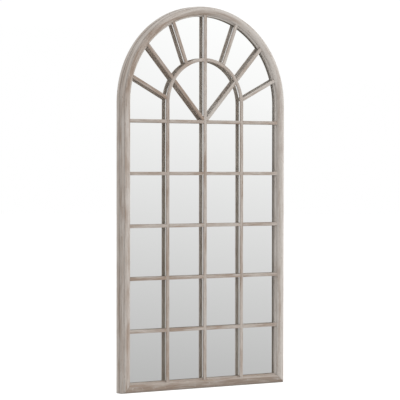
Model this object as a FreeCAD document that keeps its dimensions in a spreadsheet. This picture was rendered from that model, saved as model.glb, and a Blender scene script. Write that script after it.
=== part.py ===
import FreeCAD, Part
import Sketcher
import os
from math import atan2, cos, pi, radians, sin

doc = FreeCAD.newDocument("arched_window_mirror")
Vector = FreeCAD.Vector
AXIS_Y = Vector(0, 1, 0)
FORWARD = Vector(0, -1, 0)
RIGHT_ANGLE = 90
MITRE_ANGLE = RIGHT_ANGLE / 2
SIDES = {"left": -1, "right": 1}

# Driving sizes in millimetres, angles in degrees, counts in pieces
SIZES = {
    # Overall outline, and how far the fan's hub lies below the arch's spring line
    "width": 912,
    "height": 1800,
    "fan_drop": 87,
    # Moulded frame section, heights counted from the wall
    "frame_face": 47,
    "side_height": 26,
    "rim_step": 1.2,
    "bead_width": 5,
    "bead_rise": 2.8,
    "quirk_width": 1.5,
    "quirk_depth": 2,
    "band_drop": 7.6,
    "band_rise": 4,
    "band_step": 6.9,
    "seat_width": 7,
    "seat_height": 45.8,
    "sight_ease": 3,
    "lip_thickness": 6.6,
    "lip_overhang": 5,
    "arch_segments": 4,
    # Mirror glass and backing board in their stepped rebate
    "glass_thickness": 4,
    "glass_lap": 9,
    "glass_play": 1.5,
    "board_thickness": 4,
    "board_lap": 8,
    "board_play": 1,
    "back_recess": 23,
    # Glazing bars and fan
    "rows": 5,
    "bar_width": 16,
    "bar_thickness": 7.4,
    "bar_ease": 1.5,
    "end_play": 0.3,
    "lap_play": 0.1,
    "low_ray_angle": 27,
    "mid_ray_angle": 48,
    "high_ray_angle": 69,
    "ring_drop": 3.3,
    # Dowels in the frame joints
    "dowel_diameter": 8,
    "dowel_length": 30,
    "dowel_chamfer": 1,
    "dowel_play": 0.1,
    "dowel_room": 1,
    "dowel_back": 12,
    "dowel_gap": 14,
    "dowel_wall": 3,
    # Pan-head wood screws
    "screw_diameter": 3.5,
    "screw_length": 14,
    "screw_head": 7,
    "screw_head_flat": 4.6,
    "screw_head_height": 2,
    "screw_head_rim": 1,
    "screw_point": 4,
    "screw_play": 0.05,
    "screw_hole": 4,
    "pilot_room": 1,
    "side_screws": 5,
    "screw_end_room": 110,
    "rail_screws": 3,
    "rail_screw_pitch": 290,
    # Hanger straps and rings in their recesses
    "hanger_drop": 112,
    "hanger_sink": 0.7,
    "recess_play": 1.5,
    "strap_width": 14,
    "strap_thickness": 1.5,
    "strap_screw_pitch": 14,
    "strap_end": 8,
    "curl_angle": 80,
    "ring_clear": 3.6,
    "wire_diameter": 3.2,
    "wire_play": 0.3,
    "ring_side_play": 0.5,
    "ring_bend": 2.4,
    "ring_side": 5,
}

# Sizes worked out from the driving ones
LAYOUT = {
    "half_width": "Sizes.width / 2",
    "spring_height": "Sizes.height - half_width",
    "hub_height": "spring_height - Sizes.fan_drop",
    "band_start": "Sizes.bead_width + Sizes.quirk_width",
    "seat_start": "Sizes.frame_face - Sizes.seat_width",
    "band_foot": "Sizes.seat_height + Sizes.band_step",
    "band_height": "band_foot + Sizes.band_drop",
    "quirk_floor": "band_height - Sizes.quirk_depth",
    "bead_run": "Sizes.bead_width - Sizes.rim_step",
    "bead_lift": "quirk_floor - Sizes.side_height",
    "bead_radius": "(bead_run ^ 2 + bead_lift ^ 2) / (8 * Sizes.bead_rise) + Sizes.bead_rise / 2",
    "band_run": "seat_start - band_start",
    "band_radius": "(band_run ^ 2 + Sizes.band_drop ^ 2) / (8 * Sizes.band_rise) + Sizes.band_rise / 2",
    "ease_start": "Sizes.frame_face - Sizes.sight_ease",
    "ease_height": "Sizes.seat_height - Sizes.sight_ease",
    "lip_back": "Sizes.seat_height - Sizes.lip_thickness",
    "lip_root": "Sizes.frame_face - Sizes.lip_overhang",
    "glass_rebate": "Sizes.frame_face - Sizes.glass_lap",
    "board_rebate": "glass_rebate - Sizes.board_lap",
    "board_seat": "Sizes.back_recess + Sizes.board_thickness",
    "glass_front": "board_seat + Sizes.glass_thickness",
    "glass_foot": "glass_rebate + Sizes.glass_play",
    "glass_half": "half_width - glass_foot",
    "board_foot": "board_rebate + Sizes.board_play",
    "board_half": "half_width - board_foot",
    "bar_half": "Sizes.bar_width / 2",
    "bar_flat": "bar_half - Sizes.bar_ease",
    "bar_front": "Sizes.seat_height + Sizes.bar_thickness",
    "bar_shoulder": "bar_front - Sizes.bar_ease",
    "trim_depth": "2 * bar_front",
    "through": "2 * trim_depth",
    "lap_height": "Sizes.seat_height + Sizes.bar_thickness / 2",
    "lap_half": "bar_half + Sizes.lap_play",
    "bar_foot": "seat_start + Sizes.end_play",
    "seat_reach": "half_width - bar_foot",
    "row_pitch": "(hub_height - seat_start) / Sizes.rows",
    "lowest_row": "hub_height - (Sizes.rows - 1) * row_pitch",
    "column_pitch": "(half_width - Sizes.frame_face + bar_half) / 2",
    "centre_bar_length": "Sizes.height - 2 * bar_foot",
    "ring_level": "spring_height - Sizes.ring_drop",
    "side_bar_length": "ring_level - bar_foot",
    "ring_inner": "column_pitch - bar_half",
    "ring_outer": "column_pitch + bar_half",
    "dowel_radius": "Sizes.dowel_diameter / 2",
    "dowel_tip": "dowel_radius - Sizes.dowel_chamfer",
    "dowel_half": "Sizes.dowel_length / 2",
    "dowel_barrel": "dowel_half - Sizes.dowel_chamfer",
    "dowel_bore": "dowel_radius + Sizes.dowel_play",
    "dowel_hole": "dowel_half + Sizes.dowel_room",
    "dowel_front": "Sizes.dowel_back + Sizes.dowel_diameter + Sizes.dowel_gap",
    "dowel_inset": "board_rebate / 2",
    "mitre_dowel_inset": "board_rebate - Sizes.dowel_wall - dowel_radius",
    "mitre_dowel_slant": "mitre_dowel_inset * sqrt(2)",
    "screw_head_radius": "Sizes.screw_head / 2",
    "screw_head_top": "Sizes.screw_head_flat / 2",
    "screw_hole_radius": "Sizes.screw_hole / 2",
    "screw_radius": "Sizes.screw_diameter / 2",
    "pilot_radius": "screw_radius + Sizes.screw_play",
    "screw_inset": "(board_foot + glass_rebate) / 2",
    "screw_reach": "half_width - screw_inset",
    "pilot_depth": "Sizes.back_recess + Sizes.screw_length + Sizes.pilot_room",
    "first_screw": "Sizes.frame_face + Sizes.screw_end_room",
    "screw_pitch": "(spring_height - first_screw - Sizes.screw_end_room) / (Sizes.side_screws - 1)",
    "wire_radius": "Sizes.wire_diameter / 2",
    "knuckle_inner": "wire_radius + Sizes.wire_play",
    "knuckle_outer": "knuckle_inner + Sizes.strap_thickness",
    "axis_depth": "Sizes.hanger_sink + knuckle_outer",
    "recess_depth": "axis_depth + knuckle_outer",
    "strap_face": "recess_depth - Sizes.strap_thickness",
    "hanger_height": "spring_height - Sizes.hanger_drop",
    "hanger_inset": "board_rebate / 2",
    "hanger_reach": "half_width - hanger_inset",
    "strap_half": "Sizes.strap_width / 2",
    "curl_outer_drop": "knuckle_outer * sin(Sizes.curl_angle * 1 deg)",
    "curl_inner_drop": "knuckle_inner * sin(Sizes.curl_angle * 1 deg)",
    "ring_leg": "strap_half + Sizes.ring_side_play",
    "ring_half": "ring_leg + Sizes.ring_bend",
    "bow_drop": "Sizes.ring_bend + Sizes.ring_side",
    "ring_reach": "bow_drop + ring_half + wire_radius",
    "upper_screw_drop": "ring_reach + Sizes.ring_clear + screw_head_radius",
    "lower_screw_drop": "upper_screw_drop + Sizes.strap_screw_pitch",
    "strap_length": "lower_screw_drop + Sizes.strap_end",
    "strap_round_drop": "strap_length - strap_half",
    "recess_radius": "ring_half + wire_radius + Sizes.recess_play",
    "recess_top": "hanger_height + bow_drop",
    "recess_foot": "hanger_height - strap_round_drop",
    "strap_screw_depth": "strap_face + Sizes.screw_length + Sizes.pilot_room",
}


def fill_sheet(name, cells, lead):
    sheet = doc.addObject("Spreadsheet::Sheet", name)
    for row, (alias, content) in enumerate(cells.items(), start=1):
        sheet.set(f"A{row}", alias)
        sheet.set(f"B{row}", f"{lead}{content}")
        sheet.setAlias(f"B{row}", alias)
    doc.recompute()
    return sheet


sizes_sheet = fill_sheet("Sizes", SIZES, "")
layout_sheet = fill_sheet("Layout", LAYOUT, "=")


def size(name):
    sheet = sizes_sheet if name in SIZES else layout_sheet
    return float(sheet.get(name))


def ref(name):
    return f"Sizes.{name}" if name in SIZES else f"Layout.{name}"


# A measure is an expression on the sheets together with its present value
ZERO = ("0", 0.0)


def measure(**factors):
    """Adds named sizes, each times its factor: measure(half_width=1, bead_width=-1)."""
    used = {name: factor for name, factor in factors.items() if factor}
    if not used:
        return ZERO
    text = " + ".join(f"({factor}) * {ref(name)}" for name, factor in used.items())
    return text, sum(factor * size(name) for name, factor in used.items())


def origin_part(body, role):
    return next(part for part in body.Origin.OriginFeatures if part.Role == role)


def new_body(label):
    body = doc.addObject("PartDesign::Body", label)
    body.Label = label
    return body


def new_sketch(body, name, role, turn=0):
    sketch = body.newObject("Sketcher::SketchObject", f"{body.Name}_{name}")
    sketch.AttachmentSupport = [(origin_part(body, role), "")]
    sketch.MapMode = "FlatFace"
    if turn:
        sketch.AttachmentOffset = FreeCAD.Placement(Vector(), FreeCAD.Rotation(AXIS_Y, turn))
    return sketch


def set_datum(sketch, constraint, expression):
    index = sketch.addConstraint(constraint)
    sketch.setExpression(f"Constraints[{index}]", expression)


def pin(sketch, geo, pos, x=None, y=None):
    """Holds a point at measures from the sketch's origin; None leaves that direction to the rest."""
    for direction, axis, place in (("DistanceX", -2, x), ("DistanceY", -1, y)):
        if place == ZERO:
            sketch.addConstraint(Sketcher.Constraint("PointOnObject", geo, pos, axis))
        elif place is not None:
            set_datum(sketch, Sketcher.Constraint(direction, geo, pos, place[1]), place[0])


def draw_loop(sketch, points, arcs=None, loose=()):
    """Draws a closed outline of lines; arcs maps an edge's index to (centre x, centre y, turn, lock).

    turn is 1 for an anticlockwise edge and -1 for a clockwise one; lock holds the arc's one free size.
    A corner in loose keeps only its height.
    """
    arcs = arcs or {}
    count = len(points)
    ends = []
    for index, (x, y) in enumerate(points):
        following = points[(index + 1) % count]
        start = Vector(x[1], y[1], 0)
        stop = Vector(following[0][1], following[1][1], 0)
        if index not in arcs:
            geo = sketch.addGeometry(Part.LineSegment(start, stop), False)
            ends.append((geo, 1, 2))
            continue
        centre_x, centre_y, turn, lock = arcs[index]
        centre = Vector(centre_x, centre_y, 0)
        first, last = (start, stop) if turn > 0 else (stop, start)
        circle = Part.Circle(centre, Vector(0, 0, 1), (start - centre).Length)
        first_angle = atan2(first.y - centre.y, first.x - centre.x)
        last_angle = atan2(last.y - centre.y, last.x - centre.x)
        if last_angle <= first_angle:
            last_angle += 2 * pi
        geo = sketch.addGeometry(Part.ArcOfCircle(circle, first_angle, last_angle), False)
        ends.append((geo, 1, 2) if turn > 0 else (geo, 2, 1))
    for index, (geo, _, stop_pos) in enumerate(ends):
        next_geo, next_start, _ = ends[(index + 1) % count]
        sketch.addConstraint(Sketcher.Constraint("Coincident", geo, stop_pos, next_geo, next_start))
    for index, (geo, start_pos, _) in enumerate(ends):
        x, y = points[index]
        pin(sketch, geo, start_pos, None if index in loose else x, y)
    for index, (_, _, _, lock) in arcs.items():
        geo = ends[index][0]
        if lock == "centre_at_origin":
            sketch.addConstraint(Sketcher.Constraint("Coincident", geo, 3, -1, 1))
        elif lock[0] == "centre_height":
            pin(sketch, geo, 3, None, lock[1])
        else:
            set_datum(sketch, Sketcher.Constraint("Radius", geo, lock[1][1]), lock[1][0])


def draw_circle(sketch, x, y, radius):
    circle = Part.Circle(Vector(x[1], y[1], 0), Vector(0, 0, 1), radius[1])
    geo = sketch.addGeometry(circle, False)
    pin(sketch, geo, 3, x, y)
    set_datum(sketch, Sketcher.Constraint("Radius", geo, radius[1]), radius[0])


def draw_box(sketch, left, right, low, high):
    draw_loop(sketch, [(left, low), (right, low), (right, high), (left, high)])


def pad(body, sketch, length, both_ways=False):
    feature = body.newObject("PartDesign::Pad", f"{sketch.Name}_pad")
    feature.Profile = sketch
    feature.setExpression("Length", length)
    feature.Midplane = both_ways
    return feature


def cut(body, sketch, depth):
    """Cuts the sketch's outline to this depth on both sides of its plane."""
    feature = body.newObject("PartDesign::Pocket", f"{sketch.Name}_cut")
    feature.Profile = sketch
    feature.setExpression("Length", f"2 * ({depth})")
    feature.Midplane = True
    return feature


def revolve(body, sketch, angle):
    feature = body.newObject("PartDesign::Revolution", f"{sketch.Name}_turn")
    feature.Profile = sketch
    feature.ReferenceAxis = (sketch, ["V_Axis"])
    feature.setExpression("Angle", angle)
    feature.Midplane = True
    return feature


def repeat(body, feature, role, count, pitch):
    pattern = body.newObject("PartDesign::LinearPattern", f"{feature.Name}_row")
    pattern.Originals = [feature]
    pattern.Direction = (origin_part(body, role), [""])
    pattern.setExpression("Length", f"({count} - 1) * {pitch}")
    pattern.setExpression("Occurrences", count)
    body.Tip = pattern
    return pattern


def place(part, x=ZERO, y=ZERO, z=ZERO, turn=0):
    """Puts a part at its measures, turned about the Y axis by an angle in degrees."""
    base = Vector(x[1], y[1], z[1])
    part.Placement = FreeCAD.Placement(base, FreeCAD.Rotation(AXIS_Y, turn))
    for axis, value in (("x", x), ("y", y), ("z", z)):
        part.setExpression(f"Placement.Base.{axis}", value[0])


# Frame section corners: distance in from the outer edge, height from the wall
SECTION = [
    (None, None),
    (None, "side_height"),
    ("rim_step", "side_height"),
    ("bead_width", "quirk_floor"),
    ("band_start", "quirk_floor"),
    ("band_start", "band_height"),
    ("seat_start", "band_foot"),
    ("seat_start", "seat_height"),
    ("ease_start", "seat_height"),
    ("frame_face", "ease_height"),
    ("frame_face", "lip_back"),
    ("lip_root", "lip_back"),
    ("lip_root", "glass_front"),
    ("glass_rebate", "glass_front"),
    ("glass_rebate", "board_seat"),
    ("board_rebate", "board_seat"),
    ("board_rebate", None),
]
# Rounded mouldings, each named by the corner that it starts from
MOULDINGS = {("rim_step", "side_height"): "bead", ("band_start", "band_height"): "band"}


def scaled(name, factor):
    return ZERO if name is None else measure(**{name: factor})


def draw_section(sketch, corner, front):
    """Draws the frame section; corner maps a section corner to the sketch, front points to the viewer."""
    points = [corner(inset, height) for inset, height in SECTION]
    arcs = {}
    for index, start_corner in enumerate(SECTION):
        if start_corner not in MOULDINGS:
            continue
        moulding = MOULDINGS[start_corner]
        radius = measure(**{f"{moulding}_radius": 1})
        start = Vector(points[index][0][1], points[index][1][1], 0)
        stop = Vector(points[index + 1][0][1], points[index + 1][1][1], 0)
        chord = stop - start
        outward = Vector(-chord.y, chord.x, 0).normalize()
        turn = -1
        if outward.dot(front) < 0:
            outward = -outward
            turn = 1
        centre = (start + stop) / 2 + outward * (size(f"{moulding}_rise") - radius[1])
        arcs[index] = (centre.x, centre.y, turn, ("radius", radius))
    draw_loop(sketch, points, arcs)


def bore_dowels(body, name, turn, spots, shift_x=ZERO, shift_z=ZERO):
    """Bores dowel holes square to a joint's face, whose plane is turned about the Y axis."""
    sketch = new_sketch(body, name, "XY_Plane", turn)
    for axis, shift in (("x", shift_x), ("z", shift_z)):
        if shift != ZERO:
            sketch.setExpression(f"AttachmentOffset.Base.{axis}", shift[0])
    for x, y in spots:
        draw_circle(sketch, x, y, measure(dowel_bore=1))
    return cut(body, sketch, "Layout.dowel_hole")


DOWEL_HEIGHTS = ("dowel_back", "dowel_front")


def dowel_pair(along):
    """Spots of a joint's two dowels, one behind the other at one distance along the joint."""
    return [(along, measure(**{height: -1})) for height in DOWEL_HEIGHTS]


STRAP_SCREW_DROPS = ("upper_screw_drop", "lower_screw_drop")
RAIL_SCREWS = int(size("rail_screws"))
RAIL_SCREW_STEPS = [index - (RAIL_SCREWS - 1) / 2 for index in range(RAIL_SCREWS)]
ARCH_COUNT = int(size("arch_segments"))
ARCH_STEP = 2 * RIGHT_ANGLE / ARCH_COUNT


def make_stile(name, side):
    """One upright: x runs in from its outer edge, the foot is mitred, the back is routed for a hanger."""
    inward = -side
    stile = new_body(f"{name}_stile")
    section = new_sketch(stile, "section", "XY_Plane")

    def corner(inset, height):
        return scaled(inset, inward), scaled(height, -1)

    draw_section(section, corner, Vector(0, -1, 0))
    pad(stile, section, "Layout.spring_height")

    mitre = new_sketch(stile, "mitre", "XZ_Plane")
    edge = measure(frame_face=inward)
    draw_loop(mitre, [(ZERO, ZERO), (edge, ZERO), (edge, measure(frame_face=1))])
    cut(stile, mitre, "Layout.through")

    recess = new_sketch(stile, "recess", "XZ_Plane")
    left = measure(hanger_inset=inward, recess_radius=-1)
    right = measure(hanger_inset=inward, recess_radius=1)
    foot, top = measure(recess_foot=1), measure(recess_top=1)
    middle = inward * size("hanger_inset")
    arcs = {
        1: (middle, top[1], 1, ("centre_height", top)),
        3: (middle, foot[1], 1, ("centre_height", foot)),
    }
    draw_loop(recess, [(right, foot), (right, top), (left, top), (left, foot)], arcs)
    cut(stile, recess, "Layout.recess_depth")

    strap_pilots = new_sketch(stile, "strap_pilots", "XZ_Plane")
    for drop in STRAP_SCREW_DROPS:
        level = measure(hanger_height=1, **{drop: -1})
        draw_circle(strap_pilots, measure(hanger_inset=inward), level, measure(pilot_radius=1))
    cut(stile, strap_pilots, "Layout.strap_screw_depth")

    foot_spots = dowel_pair(measure(mitre_dowel_slant=inward))
    bore_dowels(stile, "mitre_bores", inward * -MITRE_ANGLE, foot_spots)
    top_spots = dowel_pair(measure(dowel_inset=inward))
    bore_dowels(stile, "top_bores", 0, top_spots, shift_z=measure(spring_height=1))

    pilot = new_sketch(stile, "board_pilot", "XZ_Plane")
    draw_circle(pilot, measure(screw_inset=inward), measure(first_screw=1), measure(pilot_radius=1))
    first = cut(stile, pilot, "Layout.pilot_depth")
    repeat(stile, first, "Z_Axis", "Sizes.side_screws", "Layout.screw_pitch")
    place(stile, x=measure(half_width=side))
    return stile


def make_bottom_rail():
    """The level foot of the frame, mitred at both ends."""
    rail = new_body("bottom_rail")
    section = new_sketch(rail, "section", "YZ_Plane")

    def corner(inset, height):
        return scaled(height, -1), scaled(inset, 1)

    draw_section(section, corner, Vector(-1, 0, 0))
    pad(rail, section, "Sizes.width", both_ways=True)
    for name, side in SIDES.items():
        mitre = new_sketch(rail, f"{name}_mitre", "XZ_Plane")
        end = measure(half_width=side)
        inner = measure(half_width=side, frame_face=-side)
        draw_loop(mitre, [(end, ZERO), (end, measure(frame_face=1)), (inner, measure(frame_face=1))])
        cut(rail, mitre, "Layout.through")
        spots = dowel_pair(measure(mitre_dowel_slant=-side))
        bore_dowels(rail, f"{name}_bores", side * MITRE_ANGLE, spots, shift_x=end)
    pilots = new_sketch(rail, "board_pilots", "XZ_Plane")
    for step in RAIL_SCREW_STEPS:
        draw_circle(pilots, measure(rail_screw_pitch=step), measure(screw_inset=1), measure(pilot_radius=1))
    cut(rail, pilots, "Layout.pilot_depth")
    return rail


def arch_angle(index):
    """Angle of a segment's middle, counted up from the right-hand spring."""
    return ARCH_STEP * (index + 0.5)


def make_arch_segment(index):
    """One curved length of the arch: the frame section turned about the arch's centre."""
    segment = new_body(f"arch_segment_{index + 1}")
    section = new_sketch(segment, "section", "XY_Plane")

    def corner(inset, height):
        across = measure(half_width=1) if inset is None else measure(half_width=1, **{inset: -1})
        return across, scaled(height, -1)

    draw_section(section, corner, Vector(0, -1, 0))
    revolve(segment, section, f"2 * {RIGHT_ANGLE} / Sizes.arch_segments")
    spots = dowel_pair(measure(half_width=1, dowel_inset=-1))
    for name, turn in (("first_bores", -ARCH_STEP / 2), ("last_bores", ARCH_STEP / 2)):
        bore_dowels(segment, name, turn, spots)
    pilot = new_sketch(segment, "board_pilot", "XZ_Plane")
    draw_circle(pilot, measure(screw_reach=1), ZERO, measure(pilot_radius=1))
    cut(segment, pilot, "Layout.pilot_depth")
    place(segment, z=measure(spring_height=1), turn=-arch_angle(index))
    return segment


def draw_bar_section(sketch, middle):
    """Section of a glazing bar lying on the frame's inner seat, its two front edges eased."""
    back, front = measure(seat_height=-1), measure(bar_front=-1)
    shoulder = measure(bar_shoulder=-1)
    left, right = measure(**middle, bar_half=-1), measure(**middle, bar_half=1)
    flat_left, flat_right = measure(**middle, bar_flat=-1), measure(**middle, bar_flat=1)
    points = [(left, back), (left, shoulder), (flat_left, front), (flat_right, front), (right, shoulder)]
    points.append((right, back))
    ease = ("radius", measure(bar_ease=1))
    arcs = {1: (flat_left[1], shoulder[1], 1, ease), 3: (flat_right[1], shoulder[1], 1, ease)}
    draw_loop(sketch, points, arcs)


def bar_blank(label, length):
    """A straight bar standing on its own XY plane."""
    bar = new_body(label)
    section = new_sketch(bar, "section", "XY_Plane")
    draw_bar_section(section, {})
    pad(bar, section, length)
    return bar


def cut_laps(bar, first, from_height, to_height, count, pitch):
    """Halves the bar at its crossings, between two heights from the wall."""
    lap = new_sketch(bar, "lap", "YZ_Plane")
    low = measure(**first, lap_half=-1)
    high = measure(**first, lap_half=1)
    draw_box(lap, measure(**{to_height: -1}), measure(**{from_height: -1}), low, high)
    repeat(bar, cut(bar, lap, "Sizes.bar_width"), "Z_Axis", count, pitch)


# Upright bars: steps from the centre line, and the size that holds each one's length
UPRIGHTS = {
    "left_bar": (-1, "side_bar_length"),
    "centre_bar": (0, "centre_bar_length"),
    "right_bar": (1, "side_bar_length"),
}


def make_upright_bar(label, column, length):
    """An upright bar, halved from behind where the cross bars pass."""
    bar = bar_blank(label, ref(length))
    first = {"lowest_row": 1, "bar_foot": -1}
    cut_laps(bar, first, "back_recess", "lap_height", "Sizes.rows", "Layout.row_pitch")
    place(bar, x=measure(column_pitch=column), z=measure(bar_foot=1))
    return bar


def make_cross_bar(index):
    """A level bar from stile to stile, halved from the front where the upright bars pass."""
    bar = bar_blank(f"cross_bar_{index + 1}", "2 * Layout.seat_reach")
    first = {"seat_reach": 1, "column_pitch": -1}
    cut_laps(bar, first, "lap_height", "through", str(len(UPRIGHTS)), "Layout.column_pitch")
    level = measure(hub_height=1, row_pitch=-index)
    place(bar, x=measure(seat_reach=-1), z=level, turn=RIGHT_ANGLE)
    return bar


def make_arched_sheet(label, half, foot, back, thickness, spring_line="spring_height"):
    """A flat sheet with a level foot and a half-round head on a spring line."""
    sheet = new_body(label)
    outline = new_sketch(sheet, "outline", "XZ_Plane")
    left, right = measure(**{half: -1}), measure(**{half: 1})
    low, spring = measure(**{foot: 1}), measure(**{spring_line: 1})
    arcs = {2: (0, spring[1], 1, ("centre_height", spring))}
    draw_loop(outline, [(left, low), (right, low), (right, spring), (left, spring)], arcs)
    pad(sheet, outline, ref(thickness))
    place(sheet, y=scaled(back, -1))
    return sheet


def make_ring_half(name, side, centre_gap):
    """A quarter of the fan's ring, from the side bar's head to the centre bar."""
    quarter = new_body(f"{name}_ring_arc")
    section = new_sketch(quarter, "section", "XY_Plane")
    draw_bar_section(section, {"column_pitch": 1})
    revolve(quarter, section, str(RIGHT_ANGLE))
    middle = RIGHT_ANGLE * (1 - side / 2)
    place(quarter, z=measure(ring_level=1), turn=-middle)
    return trim(f"{name}_fan_ring", quarter, centre_gap)


def trim(label, blank, waste):
    rest = doc.addObject("Part::Cut", label)
    rest.Base = blank
    rest.Tool = waste
    rest.Label = label
    return rest


def overlap(label, *shapes):
    shared = doc.addObject("Part::MultiCommon", label)
    shared.Shapes = list(shapes)
    shared.Label = label
    return shared


def block(label, length, height, x, z):
    """A plain block through the lattice's thickness, used to trim bars."""
    solid = doc.addObject("Part::Box", label)
    solid.setExpression("Length", length)
    solid.setExpression("Width", "Layout.trim_depth")
    solid.setExpression("Height", height)
    place(solid, x=x, y=measure(trim_depth=-1), z=z)
    return solid


def ray_blank(label, side, angle):
    """A bar laid from the hub towards the arch, at an angle above the level."""
    bar = bar_blank(label, "Layout.half_width + Sizes.fan_drop")
    place(bar, z=measure(hub_height=1), turn=side * (RIGHT_ANGLE - size(angle)))
    return bar


def make_outer_ray(name, side, angle):
    """A ray from the ring's outer face to the seat in the arch, its ends scribed to both curves."""
    blank = ray_blank(f"{name}_blank", side, angle)
    return overlap(name, trim(f"{name}_scribed", blank, ring_disc), seat_disc)


def make_inner_ray(name, side):
    """A diagonal inside the ring, pointed to fit the corner at the hub."""
    blank = ray_blank(f"{name}_blank", side, "mid_ray_angle")
    corner_x = measure(bar_half=1) if side > 0 else measure(bar_half=-1, half_width=-1)
    corner_z = measure(hub_height=1, bar_half=1)
    corner = block(f"{name}_corner", "Layout.half_width", "Layout.half_width", corner_x, corner_z)
    return overlap(name, blank, ring_well, corner)


def turned_body(label, points):
    """A round piece about its own Z axis, from half its section."""
    body = new_body(label)
    half = new_sketch(body, "half_section", "XZ_Plane")
    draw_loop(half, points)
    revolve(body, half, f"4 * {RIGHT_ANGLE}")
    return body


def make_group(label, pattern, placements):
    """Copies of one small part, kept as separate solids in one node."""
    group = doc.addObject("Part::Feature", label)
    group.Label = label
    copies = []
    for position, direction in placements:
        copy = pattern.Shape.copy()
        turn = FreeCAD.Rotation(Vector(0, 0, 1), direction)
        copy.Placement = FreeCAD.Placement(position, turn)
        copies.append(copy)
    group.Shape = Part.makeCompound(copies)
    return group


def arch_point(reach, angle, height):
    """A point on the arch at a distance from its centre and a height from the wall."""
    lift = radians(angle)
    return Vector(reach * cos(lift), -height, size("spring_height") + reach * sin(lift))


def dowel_places():
    half = size("half_width")
    places = []
    for index in range(ARCH_COUNT + 1):
        angle = ARCH_STEP * index
        along = Vector(-sin(radians(angle)), 0, cos(radians(angle)))
        for height in DOWEL_HEIGHTS:
            places.append((arch_point(half - size("dowel_inset"), angle, size(height)), along))
    inset = size("mitre_dowel_inset")
    for side in SIDES.values():
        for height in DOWEL_HEIGHTS:
            middle = Vector(side * (half - inset), -size(height), inset)
            places.append((middle, Vector(side, 0, 1)))
    return places


def board_screw_places():
    height = size("back_recess")
    reach = size("screw_reach")
    places = [(arch_point(reach, arch_angle(index), height), FORWARD) for index in range(ARCH_COUNT)]
    for side in SIDES.values():
        for step in range(int(size("side_screws"))):
            level = size("first_screw") + step * size("screw_pitch")
            places.append((Vector(side * reach, -height, level), FORWARD))
    for step in RAIL_SCREW_STEPS:
        places.append((Vector(step * size("rail_screw_pitch"), -height, size("screw_inset")), FORWARD))
    return places


def strap_screw_places():
    places = []
    for side in SIDES.values():
        for drop in STRAP_SCREW_DROPS:
            level = size("hanger_height") - size(drop)
            places.append((Vector(side * size("hanger_reach"), -size("strap_face"), level), FORWARD))
    return places


def drill_board(board):
    """Clearance holes for the screws that hold the backing board."""
    holes = new_sketch(board, "screw_holes", "XZ_Plane")
    radius = measure(screw_hole_radius=1)
    for index in range(ARCH_COUNT):
        lift = radians(arch_angle(index))
        x = measure(screw_reach=cos(lift))
        draw_circle(holes, x, measure(spring_height=1, screw_reach=sin(lift)), radius)
    for step in RAIL_SCREW_STEPS:
        draw_circle(holes, measure(rail_screw_pitch=step), measure(screw_inset=1), radius)
    cut(board, holes, "Layout.through")
    sides = new_sketch(board, "side_holes", "XZ_Plane")
    for side in SIDES.values():
        draw_circle(sides, measure(screw_reach=side), measure(first_screw=1), radius)
    repeat(board, cut(board, sides, "Layout.through"), "Z_Axis", "Sizes.side_screws", "Layout.screw_pitch")


def make_hanger_strap(name, side):
    """A strip curled round the ring's straight leg; its own origin is on the ring's axis."""
    strap = new_body(f"{name}_hanger_strap")
    profile = new_sketch(strap, "profile", "YZ_Plane")
    floor, face = measure(knuckle_outer=-1), measure(knuckle_inner=-1)
    end = measure(strap_length=-1)
    curl = cos(radians(size("curl_angle")))
    lip_out = (measure(knuckle_outer=curl), measure(curl_outer_drop=-1))
    lip_in = (measure(knuckle_inner=curl), measure(curl_inner_drop=-1))
    points = [(floor, end), (floor, ZERO), lip_out, lip_in, (face, ZERO), (face, end)]
    arcs = {1: (0, 0, -1, "centre_at_origin"), 3: (0, 0, 1, "centre_at_origin")}
    draw_loop(profile, points, arcs, loose=(2, 3))
    pad(strap, profile, "Sizes.strap_width", both_ways=True)

    corners = new_sketch(strap, "round_end", "XZ_Plane")
    half, minus_half = measure(strap_half=1), measure(strap_half=-1)
    below, shoulder = measure(strap_length=-1, strap_width=-1), measure(strap_round_drop=-1)
    outline = [(minus_half, below), (half, below), (half, shoulder), (minus_half, shoulder)]
    draw_loop(corners, outline, {2: (0, shoulder[1], -1, ("centre_height", shoulder))})
    cut(strap, corners, "Layout.through")

    holes = new_sketch(strap, "screw_holes", "XZ_Plane")
    for drop in STRAP_SCREW_DROPS:
        draw_circle(holes, ZERO, measure(**{drop: -1}), measure(screw_hole_radius=1))
    cut(strap, holes, "Layout.through")
    place(strap, x=measure(hanger_reach=side), y=measure(axis_depth=-1), z=measure(hanger_height=1))
    return strap


def make_hanger_ring(name, side):
    """A closed wire ring hanging from its straight leg, which is its hinge."""
    ring = new_body(f"{name}_hanger_ring")
    path = new_sketch(ring, "path", "XZ_Plane")
    leg, minus_leg = measure(ring_leg=1), measure(ring_leg=-1)
    half, minus_half = measure(ring_half=1), measure(ring_half=-1)
    bend, bow = measure(ring_bend=-1), measure(bow_drop=-1)
    points = [(ZERO, ZERO), (leg, ZERO), (half, bend), (half, bow), (minus_half, bow), (minus_half, bend)]
    points.append((minus_leg, ZERO))
    corner = ("radius", measure(ring_bend=1))
    arcs = {
        1: (leg[1], bend[1], -1, corner),
        3: (0, bow[1], -1, ("centre_height", bow)),
        5: (minus_leg[1], bend[1], -1, corner),
    }
    draw_loop(path, points, arcs)
    wire = new_sketch(ring, "wire", "YZ_Plane")
    draw_circle(wire, ZERO, ZERO, measure(wire_radius=1))
    sweep = ring.newObject("PartDesign::AdditivePipe", f"{ring.Name}_sweep")
    sweep.Profile = wire
    sweep.Spine = (path, [f"Edge{index + 1}" for index in range(len(points))])
    place(ring, x=measure(hanger_reach=side), y=measure(axis_depth=-1), z=measure(hanger_height=1))
    return ring


# Moulded frame
nodes = [make_stile(name, side) for name, side in SIDES.items()]
nodes.append(make_bottom_rail())
nodes += [make_arch_segment(index) for index in range(ARCH_COUNT)]

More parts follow.
